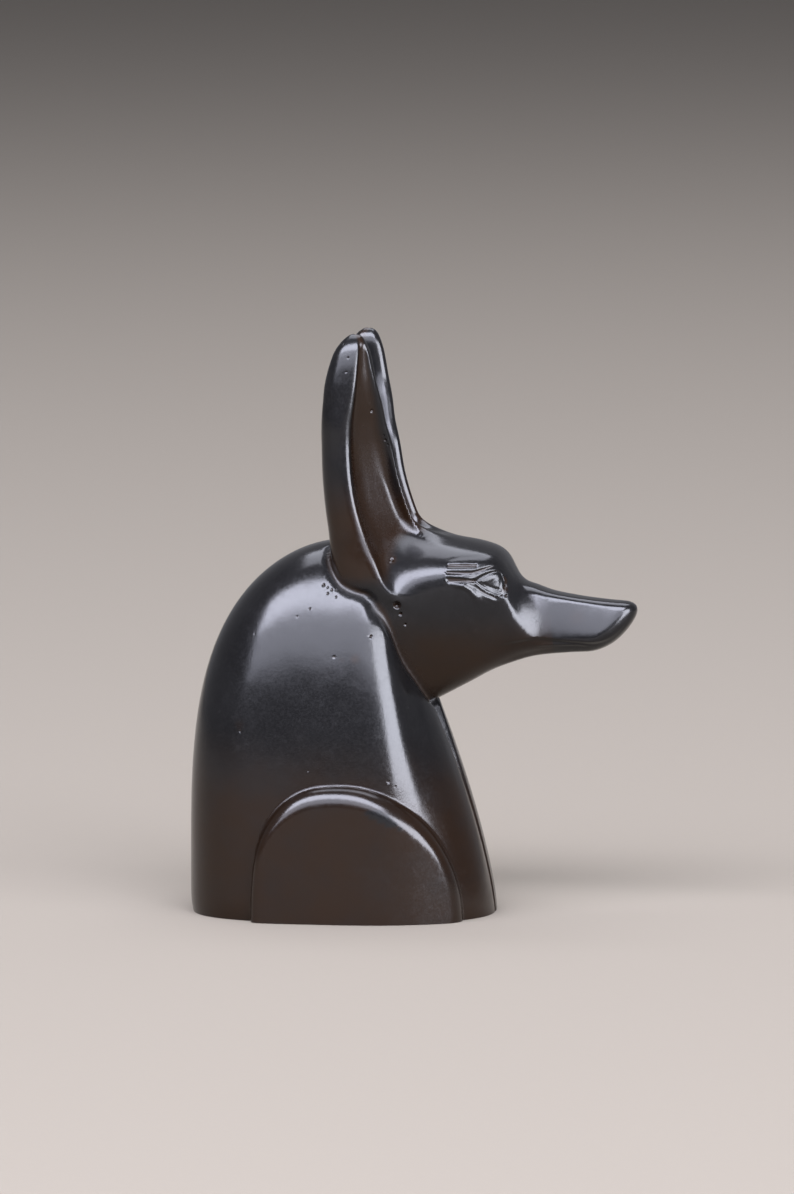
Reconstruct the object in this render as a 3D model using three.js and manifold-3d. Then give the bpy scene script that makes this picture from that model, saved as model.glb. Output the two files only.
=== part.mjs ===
// A bust of the jackal god in polished black stone, carved in one piece: a bell-shaped wig that
// ends flat at the table, two upright ears and a long straight muzzle. Millimetres, +Z up,
// +X the way the muzzle points, origin at the middle of the underside.
//
// The stone is described as a distance-like field, negative inside. Each form (bust, shoulder,
// head, ear) is one function, and forms are joined with a rounded or a sharp valley between them.
import * as THREE from 'three';
import { surfaceNet } from 'three/addons/libs/surfaceNet.js';
import { MeshoptSimplifier } from 'three/addons/libs/meshopt_simplifier.module.js';
import { mergeVertices } from 'three/addons/utils/BufferGeometryUtils.js';
import Module from 'manifold-3d';

// Driving dimensions
const BUST_FRONT = 28.6; // the chest's foot, from the origin
const BUST_BACK = 28.6; // the wig's foot behind
const BUST_HALF_WIDTH = 20.2;
const BUST_CROWN = 69.8; // top of the wig, between the ears
const BUST_AXIS = -3; // the upright line that the bell shape turns about
const BUST_LEAN = 6; // how far forward that line has moved at the crown
const LEAN_POWER = 5; // the lean comes in near the crown
const FOOTPRINT_POWER = { front: 2.35, back: 2.8 }; // 2 is an ellipse, more is squarer
const FOOT_TUCK = { depth: 0.45, height: 4 }; // the foot's edge is eased inwards
const CHIN_HEIGHT = 41; // where the throat meets the wig's lappets
const SHOULDER_HALF_WIDTH = 22.4; // the flat cut face of the upper arm
const SHOULDER_HEIGHT = 26.1;
const SHOULDER_PROUD = 2.4; // how far the arch stands out of the bust where the face curves away
const HEAD_BACK = 4; // the head is followed from here, inside the wig
const NOSE_TIP = 55.6;
const EAR_TIP = 108.9;
const EAR_FOOT = 61; // the ear's rounded root ends here, over the wig
const HOLLOW_TURN = Math.PI / 4; // the ears' hollows face this far outwards from straight ahead
const VALLEY = { ears: 2.6, shoulders: 0.5, head: 0.7 }; // how wide each join is rounded

// Mesh settings
const GRID_STEP = 0.7;
const CARVING_EDGE = 0.55; // longest triangle edge where the face is carved, before thinning
const TARGET_TRIANGLES = 9400;
const CUT_CLEARANCE = 0.15;
const BELOW_TABLE = 4; // the field is followed this far under the underside, then cut off flat
const MARGIN = 2; // from the stone to the edge of the sampled space
const CUTTER_SIDE = 140;

const { clamp, smoothstep, radToDeg, degToRad } = THREE.MathUtils;

// A smooth curve through [position, value] stations, level past the ends
function profile(...stations) {
  const curve = new THREE.CubicInterpolant(
    stations.map(([at]) => at), stations.map(([, value]) => value), 1, new Float64Array(1));
  return (at) => curve.evaluate(at)[0];
}

// The larger of two fields, with the edge between them rounded over a width of k
function roundMax(a, b, k) {
  const near = Math.max(k - Math.abs(a - b), 0) / k;
  return Math.max(a, b) + near * near * k / 4;
}

const roundMin = (a, b, k) => -roundMax(-a, -b, k);

// Distance-like value of a superellipse with half-sizes a and b, measured along the ray
function superellipse(u, v, a, b, power) {
  const share = (Math.abs(u / a) ** power + Math.abs(v / b) ** power) ** (1 / power);
  return Math.hypot(u, v) * (1 - 1 / Math.max(share, 1e-3));
}

// Bust: a bell about a leaning axis. Directions are in degrees, 0 to the front and 180 to the back.
const bellPower = profile([0, 1.34], [12, 1.38], [23, 1.48], [35, 1.7], [52, 2.4], [70, 2.72], [90, 2.7],
  [140, 2.76], [180, 2.75]);
const wallHeight = profile([0, 0], [40, 3], [90, 4], [140, 9], [180, 12]);
// The wig's two lappets part under the chin, and the parting fades towards the foot.
const PARTING_TOP = 52;
const partingWidth = profile([0, 0.8], [14, 1], [28, 1.5], [35, 2.6], [CHIN_HEIGHT, 3.6],
  [PARTING_TOP, 4.6]);
const partingDepth = profile([0, 0.3], [14, 0.45], [28, 0.9], [35, 2.4], [CHIN_HEIGHT, 3.6],
  [PARTING_TOP, 4.4]);

// How far the bust's foot reaches from the axis in one direction
function footprintReach(turn) {
  const ahead = turn < 90;
  const power = ahead ? FOOTPRINT_POWER.front : FOOTPRINT_POWER.back;
  const length = ahead ? BUST_FRONT - BUST_AXIS : BUST_BACK + BUST_AXIS;
  const u = Math.abs(Math.cos(degToRad(turn))) / length;
  const v = Math.sin(degToRad(turn)) / BUST_HALF_WIDTH;
  return (u ** power + v ** power) ** (-1 / power);
}

// Place of a point about the bust's axis: how far ahead, how far out, and its direction
function aboutAxis(x, y, z) {
  const ahead = x - BUST_AXIS - BUST_LEAN * clamp(z / BUST_CROWN, 0, 1) ** LEAN_POWER;
  return { ahead, out: Math.hypot(ahead, y), turn: radToDeg(Math.atan2(Math.abs(y), ahead)) };
}

function bustField(x, y, z) {
  const { ahead, out, turn } = aboutAxis(x, y, z);
  const power = bellPower(turn);
  const wall = wallHeight(turn);
  const rise = Math.max(z - wall, 0);
  const reach = out / footprintReach(turn);
  const share = (reach ** power + (rise / (BUST_CROWN - wall)) ** power) ** (1 / power);
  const bell = Math.hypot(out, rise) * (1 - 1 / Math.max(share, 1e-3));
  const tuck = FOOT_TUCK.depth * smoothstep(turn, 0, 90) * Math.max(1 - z / FOOT_TUCK.height, 0) ** 2;
  const level = clamp(z, 0, PARTING_TOP);
  const width = partingWidth(level);
  const nearness = 1 - smoothstep(Math.abs(y), width * 0.4, width * 1.1);
  return bell + tuck + (ahead > 0 ? partingDepth(level) * nearness : 0);
}

// Shoulder: the upper arm cut off flat, a low arch that stands out of each side of the bust
const SHOULDER_X = 2.5;
const SHOULDER_BACK = { reach: 17, power: 2.7 };
const SHOULDER_FRONT = { reach: 21.8, power: 1.95 };
const SHOULDER_EDGE = { foot: 1.8, crown: 3.2, from: 12, to: 24 }; // rounding, wider over the arch

function shoulderField(x, y, z) {
  const side = x < SHOULDER_X ? SHOULDER_BACK : SHOULDER_FRONT;
  const arch = superellipse(x - SHOULDER_X, Math.max(z, 0), side.reach, SHOULDER_HEIGHT, side.power);
  const { out, turn } = aboutAxis(x, y, 0);
  const wall = out - footprintReach(turn) - SHOULDER_PROUD;
  const face = roundMax(wall, Math.abs(y) - SHOULDER_HALF_WIDTH, 1.5);
  const overArch = smoothstep(z, SHOULDER_EDGE.from, SHOULDER_EDGE.to);
  return roundMax(arch, face, SHOULDER_EDGE.foot + (SHOULDER_EDGE.crown - SHOULDER_EDGE.foot) * overArch);
}

// Head: stations along X, from inside the wig to the nose
const headTop = profile([HEAD_BACK, 65.5], [8, 69.4], [12, 71], [16, 71.5], [22, 70.6], [27, 69.6],
  [29.4, 68.6], [30.7, 67.4], [31.8, 65.6], [32.8, 63.9], [34, 62.7], [36, 61.9], [39, 60.8], [43, 60],
  [50, 59.2], [56, 58.9]);
const headBottom = profile([HEAD_BACK, 33], [12, 37.2], [18, 40.3], [24, 43.5], [28, 45.7], [32, 47.3],
  [36, 48.5], [42, 49.2], [48, 49.5], [56, 50]);
const browWidth = profile([HEAD_BACK, 7], [16, 8.2], [22, 8.4], [27, 8.1], [29.5, 7.2], [31.5, 5.6], [34, 4.2],
  [38, 3.6], [44, 3.2], [56, 2.6]);
const cheekWidth = profile([HEAD_BACK, 12], [14, 12.6], [21, 12.1], [25, 11.2], [27.5, 9.9], [30, 8.4], [33, 7],
  [37, 6], [44, 5.4], [50, 4.9], [56, 4.2]);
const jawWidth = profile([HEAD_BACK, 4], [16, 3.8], [24, 4.4], [30, 4.3], [38, 4.2], [46, 3.8], [56, 3]);
const cheekLevel = profile([HEAD_BACK, 0.66], [16, 0.62], [24, 0.55], [29, 0.46], [34, 0.36], [44, 0.32],
  [56, 0.34]);
const jawPower = profile([HEAD_BACK, 1.4], [20, 1.6], [32, 2], [56, 2]);
const browEdge = profile([HEAD_BACK, 5], [18, 3], [24, 2.2], [30, 1.5], [36, 1.1], [56, 0.9]);
const crownDrop = profile([HEAD_BACK, 3], [16, 2.4], [24, 1.8], [30, 1.2], [36, 0.4], [56, 0.3]);
const THROAT_EDGE = 3.6;
// The nose's end leans back under the tip and is rounded from side to side.
const NOSE = { ridge: 59, slant: 0.094, slantPower: 1.9, roundness: 0.07, edge: 1.7 };

// Half the head's width at station x, a share of the way up from throat to brow
function headHalfWidth(x, share) {
  const level = cheekLevel(x);
  const cheek = cheekWidth(x);
  if (share < level) {
    const jaw = jawWidth(x);
    return jaw + (cheek - jaw) * (1 - clamp((level - share) / level, 0, 1.2) ** jawPower(x));
  }
  const brow = browWidth(x);
  return brow + (cheek - brow) * (1 - clamp((share - level) / (1 - level), 0, 1.2) ** 2);
}

// Carving on each side of the face. Places are [x, z] in the side view, in millimetres.
const CARVING_FROM = 19; // the face's carving is all ahead of this
const SOCKET = { at: [28.5, 62.6], half: [6.5, 4.6], depth: 0.7 };
const EYE = { outer: 26.6, inner: 32.7, ball: 0.9, ballEdge: [0.3, 1.6], lid: 0.4, lidWidth: 0.6 };
const upperLid = profile([26.6, 63.7], [27.8, 64.5], [29.4, 65.25], [30.9, 65.5], [31.9, 64.9], [32.7, 62.6]);
const lowerLid = profile([26.6, 63.7], [27.8, 62.8], [29.4, 61.8], [30.9, 60.95], [32.7, 60.2]);
const BROW_SLOT = { path: [[21.4, 66.9], [27, 65.8]], width: 0.8, depth: 0.5 };
const EYE_BAR = { path: [[21.4, 64], [26.2, 63.8]], half: [0.85, 0.45], height: 0.3 };
const MOUTH = { path: [[28, 51.2], [33.5, 52.5], [47, 52.1], [53, 54.4]], width: 0.75, depth: 0.4 };

// Shortest distance from a place to a path of straight lines
function fromPath([px, pz], path) {
  const distances = path.slice(1).map(([bx, bz], i) => {
    const [ax, az] = path[i];
    const along = ((px - ax) * (bx - ax) + (pz - az) * (bz - az)) / ((bx - ax) ** 2 + (bz - az) ** 2);
    const share = clamp(along, 0, 1);
    return Math.hypot(px - ax - share * (bx - ax), pz - az - share * (bz - az));
  });
  return Math.min(...distances);
}

// Falls smoothly from 1 to 0 over a width.
const bump = (distance, width) => 1 - smoothstep(distance, 0, width);

// How far a place lies inside the eye's outline, negative outside
function insideEye([px, pz]) {
  const at = clamp(px, EYE.outer, EYE.inner);
  return Math.min((upperLid(at) - pz) * 0.85, (pz - lowerLid(at)) * 0.85, px - EYE.outer, EYE.inner - px);
}

// Depth of the carving into the stone, negative where it stands proud
function faceCarving(place) {
  const inside = insideEye(place);
  const fromSocket = Math.hypot(...place.map((value, i) => (value - SOCKET.at[i]) / SOCKET.half[i]));
  const socket = SOCKET.depth * bump(fromSocket, 1);
  const eyeball = -EYE.ball * smoothstep(inside, ...EYE.ballEdge);
  const lid = -EYE.lid * bump(Math.abs(inside + 0.2), EYE.lidWidth);
  const slot = BROW_SLOT.depth * bump(fromPath(place, BROW_SLOT.path), BROW_SLOT.width);
  const [[barStart], [barEnd]] = EYE_BAR.path;
  const half = THREE.MathUtils.mapLinear(clamp(place[0], barStart, barEnd), barStart, barEnd, ...EYE_BAR.half);
  const bar = -EYE_BAR.height * bump(fromPath(place, EYE_BAR.path) - half * 0.5, half * 0.8);
  const mouth = MOUTH.depth * bump(fromPath(place, MOUTH.path), MOUTH.width);
  return socket + eyeball + lid + slot + bar + mouth;
}

function headField(x, y, z) {
  const at = clamp(x, HEAD_BACK, NOSE_TIP);
  const top = headTop(at);
  const bottom = headBottom(at);
  const side = (Math.abs(y) - headHalfWidth(at, (z - bottom) / (top - bottom))) * 0.92;
  const crown = z - top + crownDrop(at) * (y / browWidth(at)) ** 2;
  const carving = x > CARVING_FROM ? faceCarving([x, z]) * smoothstep(Math.abs(y), 2, 4) : 0;
  const body = roundMax(roundMax(side, crown, browEdge(at)), bottom - z, THROAT_EDGE) + carving;
  const slant = NOSE.slant * Math.max(NOSE.ridge - z, 0) ** NOSE.slantPower;
  const nose = (x - NOSE_TIP + slant + NOSE.roundness * y * y) * 0.85;
  return roundMax(roundMax(body, nose, NOSE.edge), HEAD_BACK - 1 - x, 2);
}

// Ear: stations up its height. It is an upright horn, opened on the side that faces out and forward.
const earX = profile([EAR_FOOT, 11], [66.6, 10.2], [72, 9.2], [76, 7.9], [82, 6.2], [88, 5.25], [92, 4.3],
  [96, 3.7], [100, 3.2], [105, 3.1], [109, 3.25]);
const earDepth = profile([EAR_FOOT, 10.6], [66.6, 11.2], [72, 10.8], [76, 10.1], [82, 9], [88, 8.25], [92, 7.3],
  [96, 6.4], [100, 5.4], [105, 3.9], [109, 2.05]);
const earY = profile([EAR_FOOT, 8.6], [66.6, 8.4], [72, 8.1], [76, 7.9], [82, 7.7], [88, 7.65], [92, 8],
  [96, 8.3], [100, 8.8], [109, 8.8]);
const earWidth = profile([EAR_FOOT, 5.6], [66.6, 5.65], [72, 5.5], [76, 5.4], [82, 5.15], [88, 4.8], [92, 4.2],
  [96, 3.5], [100, 2.8], [105, 2.2], [109, 1.4]);
const EAR_SECTION = 2.5; // power of the ear's superellipse
const EAR_CAP = { bow: 0.2, edge: 2.2 };
const EAR_ROOT_EDGE = 3;
// The hollow's floor is steep at the outer rim and rises gently to the front rim.
const rimReach = profile([EAR_FOOT, 17.2], [66.6, 15.3], [72, 13.2], [76, 11.95], [82, 10.75], [88, 10.2],
  [92, 10.2], [96, 10.5], [100, 10.6], [105, 10.3], [109, 9.9]);
const hollowMiddle = profile([EAR_FOOT, 3.1], [66.6, 2.3], [72, 1.1], [76, 0.2], [82, -0.8], [88, -1.55],
  [92, -2.15], [96, -2.5], [100, -2.9], [109, -3.1]);
const hollowHalf = profile([EAR_FOOT, 5.6], [66.6, 5.9], [72, 5.9], [76, 5.65], [82, 5.15], [88, 4.5],
  [92, 3.8], [96, 3.05], [100, 2.1], [105, 1.2], [109, 0.5]);
const hollowDepth = profile([EAR_FOOT, 1.4], [66.6, 2.6], [72, 3], [88, 2.8], [96, 2.2], [100, 1.7], [105, 1],
  [109, 0.2]);
const HOLLOW_POWER = { outer: 3.4, front: 2.2 };
const RIM_EDGE = 1.4;

function earField(x, y, z) {
  const at = clamp(z, EAR_FOOT, EAR_TIP);
  const side = Math.abs(y);
  const u = x - earX(at);
  const v = side - earY(at);
  const horn = superellipse(u, v, earDepth(at), earWidth(at), EAR_SECTION);
  const cap = z - EAR_TIP + EAR_CAP.bow * (u * u * 0.6 + v * v);
  const solid = roundMax(roundMax(horn, cap, EAR_CAP.edge), EAR_FOOT - z, EAR_ROOT_EDGE);
  const outward = x * Math.cos(HOLLOW_TURN) + side * Math.sin(HOLLOW_TURN);
  const across = x * Math.sin(HOLLOW_TURN) - side * Math.cos(HOLLOW_TURN) - hollowMiddle(at);
  const power = across < 0 ? HOLLOW_POWER.outer : HOLLOW_POWER.front;
  const floor = 1 - Math.min(Math.abs(across / hollowHalf(at)), 1) ** power;
  const opening = outward - rimReach(at) + hollowDepth(at) * floor;
  return roundMax(solid, opening * 0.9, RIM_EDGE);
}

// The whole stone, closed a little under the table
function stone(x, y, z) {
  const eared = roundMin(headField(x, y, z), earField(x, y, z), VALLEY.ears);
  const bust = roundMin(bustField(x, y, z), shoulderField(x, y, z), VALLEY.shoulders);
  return Math.max(roundMin(eared, bust, VALLEY.head), -BELOW_TABLE - z);
}

// Moves each point along the field's slope onto its zero surface.
function settle(field, points, rounds) {
  const h = 0.02;
  const gentlest = 0.2;
  for (let round = 0; round < rounds; round += 1) {
    for (const p of points) {
      const value = field(...p);
      const slope = [0, 1, 2].map((i) => {
        const ahead = [...p];
        ahead[i] += h;
        return (field(...ahead) - value) / h;
      });
      const steep = Math.max(slope[0] ** 2 + slope[1] ** 2 + slope[2] ** 2, gentlest);
      const stride = clamp(value / steep, -GRID_STEP / 4, GRID_STEP / 4);
      slope.forEach((s, i) => { p[i] -= s * stride; });
    }
  }
}

// Halves every edge longer than the limit on the triangles that a test picks out, with new points
// in the middle of those edges. A triangle beside them is split to match.
function refine(points, triangles, picked, limit) {
  const middles = new Map();
  const name = (a, b) => (a < b ? `${a} ${b}` : `${b} ${a}`);
  for (const triangle of triangles.filter((corners) => picked(points[corners[0]]))) {
    triangle.forEach((a, i) => {
      const b = triangle[(i + 1) % 3];
      const length = Math.hypot(...points[a].map((value, k) => value - points[b][k]));
      if (middles.has(name(a, b)) || length < limit) return;
      middles.set(name(a, b), points.length);
      points.push(points[a].map((value, k) => (value + points[b][k]) / 2));
    });
  }
  return triangles.flatMap(([a, b, c]) => {
    const corners = [a, b, c, a, b];
    const middle = [0, 1, 2].map((i) => middles.get(name(corners[i], corners[i + 1])));
    const count = middle.filter((m) => m !== undefined).length;
    if (count === 0) return [[a, b, c]];
    const [ab, bc, ca] = middle;
    if (count === 3) return [[a, ab, ca], [ab, b, bc], [ca, bc, c], [ab, bc, ca]];
    const first = count === 1 ? middle.findIndex((m) => m !== undefined) : (middle.indexOf(undefined) + 1) % 3;
    const [p, q, r] = [corners[first], corners[first + 1], corners[(first + 2) % 3]];
    const [pq, qr] = [middle[first], middle[(first + 1) % 3]];
    return count === 1 ? [[p, pq, r], [pq, q, r]] : [[pq, q, qr], [p, pq, r], [pq, qr, r]];
  });
}

// Gives each ring of triangles round a corner a corner of its own, drawn a little into its ring.
// A corner where two parts of the surface touch has more than one ring, and they come apart there.
function partTouching(positions, indices) {
  const PULL = 0.1;
  const points = [...positions];
  const corners = [...indices];
  const around = new Map();
  corners.forEach((corner, slot) => around.set(corner, [...(around.get(corner) ?? []), slot]));
  for (const [corner, slots] of around) {
    const rings = [];
    for (const slot of slots) {
      const first = slot - (slot % 3);
      const others = [corners[first + ((slot + 1) % 3)], corners[first + ((slot + 2) % 3)]];
      const touching = rings.filter((ring) => others.some((other) => ring.others.has(other)));
      const joined = { slots: [slot], others: new Set(others) };
      for (const ring of touching) {
        joined.slots.push(...ring.slots);
        ring.others.forEach((other) => joined.others.add(other));
        rings.splice(rings.indexOf(ring), 1);
      }
      rings.push(joined);
    }
    if (rings.length < 2) continue;
    const at = [0, 1, 2].map((axis) => points[corner * 3 + axis]);
    for (const ring of rings) {
      const near = [...ring.others];
      const total = (axis) => near.reduce((sum, other) => sum + points[other * 3 + axis], 0);
      ring.slots.forEach((slot) => { corners[slot] = points.length / 3; });
      points.push(...at.map((value, axis) => value + (total(axis) / near.length - value) * PULL));
    }
  }
  return [points, corners];
}

// Where the face is carved: round the eye and brow, and along the mouth, but not on the midline
const CARVED = { beyond: 2.5, boxes: [{ x: [19, 35], z: [58, 69.5] }, { x: [27, 60], z: [50, 55] }] };

function isCarved([x, y, z]) {
  const within = (value, [low, high]) => value > low && value < high;
  return Math.abs(y) > CARVED.beyond && CARVED.boxes.some((box) => within(x, box.x) && within(z, box.z));
}

// The zero surface of a field as a closed mesh, thinned where it is flat
async function meshOf(field, low, high, step, triangles) {
  const cells = low.map((value, axis) => Math.ceil((high[axis] - value) / step));
  const top = low.map((value, axis) => value + cells[axis] * step);
  const samples = new Map();
  const sampled = (...point) => {
    const [i, j, k] = point.map((value, axis) => Math.round((value - low[axis]) / step));
    const key = (i * (cells[1] + 1) + j) * (cells[2] + 1) + k;
    if (!samples.has(key)) samples.set(key, field(...point));
    return samples.get(key);
  };
  const net = surfaceNet(cells, sampled, [low, top]);
  settle(field, net.positions, 3);
  const faces = refine(net.positions, net.cells, isCarved, CARVING_EDGE);
  settle(field, net.positions, 1);
  const rough = Float32Array.from(net.positions.flat());
  await MeshoptSimplifier.ready;
  const [kept] = MeshoptSimplifier.simplify(Uint32Array.from(faces.flat()), rough, 3, triangles * 3, 0.01);
  const [positions, corners] = partTouching(rough, kept);
  const geometry = new THREE.BufferGeometry();
  geometry.setAttribute('position', new THREE.Float32BufferAttribute(positions, 3));
  geometry.setIndex(corners);
  return geometry;
}

const wasm = await Module();
wasm.setup();

// A closed three.js geometry as a solid that can be joined and cut
function solidOf(geometry) {
  const bare = geometry.clone();
  bare.deleteAttribute('normal');
  bare.deleteAttribute('uv');
  const merged = mergeVertices(bare, 1e-5);
  return new wasm.Manifold(new wasm.Mesh({
    numProp: 3,
    vertProperties: Float32Array.from(merged.attributes.position.array),
    triVerts: Uint32Array.from(merged.index.array),
  }));
}

function geometryOf(solid) {
  const mesh = solid.getMesh();
  const geometry = new THREE.BufferGeometry();
  geometry.setAttribute('position', new THREE.BufferAttribute(mesh.vertProperties, 3));
  geometry.setIndex(new THREE.BufferAttribute(mesh.triVerts, 1));
  geometry.computeVertexNormals();
  return geometry;
}

// Moves the corners that nearly touch the table's plane under it, so that the cut leaves no slivers.
function clearOfTable(geometry) {
  const { position } = geometry.attributes;
  for (let i = 0; i < position.count; i += 1) {
    if (Math.abs(position.getZ(i)) < CUT_CLEARANCE) position.setZ(i, -CUT_CLEARANCE);
  }
  return geometry;
}

const low = [-BUST_BACK - MARGIN * 2, -SHOULDER_HALF_WIDTH - MARGIN * 2, -BELOW_TABLE - MARGIN];
const high = [NOSE_TIP + MARGIN * 2, SHOULDER_HALF_WIDTH + MARGIN * 2, EAR_TIP + MARGIN];
const rough = clearOfTable(await meshOf(stone, low, high, GRID_STEP, TARGET_TRIANGLES));
const table = new THREE.BoxGeometry(CUTTER_SIDE, CUTTER_SIDE, CUTTER_SIDE);
table.translate(0, 0, -CUTTER_SIDE / 2);

const blackStone = new THREE.MeshStandardMaterial({ color: 0x1c1a18, roughness: 0.28, metalness: 0 });
const bust = new THREE.Mesh(geometryOf(solidOf(rough).subtract(solidOf(table))), blackStone);
bust.name = 'jackal_bust';

const group = new THREE.Group();
group.add(bust);
export default group;
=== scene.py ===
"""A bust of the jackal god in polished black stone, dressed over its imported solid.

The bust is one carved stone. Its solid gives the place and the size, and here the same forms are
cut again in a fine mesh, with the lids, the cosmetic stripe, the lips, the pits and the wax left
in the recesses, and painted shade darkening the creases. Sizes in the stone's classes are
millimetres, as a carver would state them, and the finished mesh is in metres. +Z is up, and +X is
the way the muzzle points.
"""
from __future__ import annotations

import logging
import math
from dataclasses import dataclass, field
from enum import Enum
from typing import Sequence

import bpy
import numpy as np
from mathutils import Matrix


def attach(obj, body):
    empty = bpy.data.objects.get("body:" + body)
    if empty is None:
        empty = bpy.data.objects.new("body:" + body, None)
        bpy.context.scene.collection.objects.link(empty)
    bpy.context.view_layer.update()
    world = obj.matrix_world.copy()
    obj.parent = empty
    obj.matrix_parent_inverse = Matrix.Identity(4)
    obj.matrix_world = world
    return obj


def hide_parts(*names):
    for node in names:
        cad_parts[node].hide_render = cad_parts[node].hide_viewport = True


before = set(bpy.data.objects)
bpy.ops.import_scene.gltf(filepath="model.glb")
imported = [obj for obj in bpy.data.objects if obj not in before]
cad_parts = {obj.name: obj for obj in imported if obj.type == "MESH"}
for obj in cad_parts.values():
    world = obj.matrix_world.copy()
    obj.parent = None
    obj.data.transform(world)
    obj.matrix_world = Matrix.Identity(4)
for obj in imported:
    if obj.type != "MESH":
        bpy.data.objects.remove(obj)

Array = np.ndarray
Place = tuple[float, float]

MM = 0.001
LOG = logging.getLogger("jackal_bust")
EAR_HEIGHTS = (61, 66.6, 72, 76, 82, 88, 92, 96, 100, 105, 109)


# Curves and joins

@dataclass(frozen=True)
class Profile:
    """A smooth curve through stations, level past its ends.

    The slope at a station is the slope between its neighbours, and the curve straightens
    towards its first and last stations.
    """

    stations: tuple[Place, ...]

    def __call__(self, at: Array) -> Array:
        """Reads the curve.

        Args:
            at: Positions along the curve, in millimetres or degrees.

        Returns:
            The curve's value at each position.
        """
        places, values = (np.array(column, dtype=float) for column in zip(*self.stations))
        at = np.clip(at, places[0], places[-1])
        i = np.clip(np.searchsorted(places, at, side="right"), 1, len(places) - 1)
        t0, t1 = places[i - 1], places[i]
        before, after = np.where(i > 1, i - 2, i), np.where(i < len(places) - 1, i + 1, i - 1)
        t_before = np.where(i > 1, places[before], t1)
        t_after = np.where(i < len(places) - 1, places[after], t0)
        half = (t1 - t0) / 2
        w_before = half / (t0 - t_before)
        w_after = half / (t_after - t1)
        p = (at - t0) / (t1 - t0)
        q, r = p * p, p * p * p
        s_before = -w_before * r + 2 * w_before * q - w_before * p
        s0 = (1 + w_before) * r + (-1.5 - 2 * w_before) * q + (-0.5 + w_before) * p + 1
        s1 = (-1 - w_after) * r + (1.5 + w_after) * q + 0.5 * p
        s_after = w_after * r - w_after * q
        return s_before * values[before] + s0 * values[i - 1] + s1 * values[i] + s_after * values[after]


def profile(*stations: Place) -> Profile:
    """Makes a curve from its stations, each a position and a value."""
    return Profile(tuple(stations))


def leveled(heights: Sequence[float], *values: float) -> Profile:
    """Makes a curve from values at shared heights."""
    return Profile(tuple(zip(heights, values)))


def round_max(a: Array, b: Array, k: Array | float) -> Array:
    """Takes the larger of two fields, with the edge between them rounded over a width of k."""
    near = np.maximum(k - np.abs(a - b), 0) / k
    return np.maximum(a, b) + near * near * k / 4


def round_min(a: Array, b: Array, k: Array | float) -> Array:
    """Joins two solids, with the valley between them rounded over a width of k."""
    return -round_max(-a, -b, k)


def smoothstep(value: Array, low: float, high: float) -> Array:
    """Rises smoothly from 0 at low to 1 at high."""
    share = np.clip((value - low) / (high - low), 0, 1)
    return share * share * (3 - 2 * share)


def bump(distance: Array, width: Array | float) -> Array:
    """Falls smoothly from 1 to 0 over a width."""
    return 1 - smoothstep(distance / width, 0, 1)


def superellipse(u: Array, v: Array, a: Array | float, b: Array | float, power: Array | float) -> Array:
    """Measures along the ray from an outline of half sizes a and b, squarer for a higher power."""
    share = (np.abs(u / a) ** power + np.abs(v / b) ** power) ** (1 / power)
    return np.hypot(u, v) * (1 - 1 / np.maximum(share, 1e-3))


def within(value: Array, span: Place) -> Array:
    """Tells where a value lies inside a span."""
    return (value > span[0]) & (value < span[1])


def in_oval(x: Array, z: Array, middle: Place, half: Place) -> Array:
    """Gives how far out places lie in an oval of the side view, 1 on its edge."""
    return np.hypot((x - middle[0]) / half[0], (z - middle[1]) / half[1])


def from_path(x: Array, z: Array, path: Sequence[Place]) -> tuple[Array, Array]:
    """Measures from a path of straight lines in the side view.

    Args:
        x: Places along the muzzle.
        z: Heights.
        path: The path's corners.

    Returns:
        The shortest distance to the path, and how far along it the nearest place lies, 0 to 1.
    """
    best, along = np.full(x.shape, np.inf), np.zeros(x.shape)
    lengths = [math.dist(a, b) for a, b in zip(path, path[1:])]
    walked = 0.0
    for (ax, az), (bx, bz), length in zip(path, path[1:], lengths):
        share = np.clip(((x - ax) * (bx - ax) + (z - az) * (bz - az)) / length ** 2, 0, 1)
        distance = np.hypot(x - ax - share * (bx - ax), z - az - share * (bz - az))
        nearer = distance < best
        best = np.where(nearer, distance, best)
        along = np.where(nearer, (walked + share * length) / sum(lengths), along)
        walked += length
    return best, along


# The stone's forms, each a field that is negative inside

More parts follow.
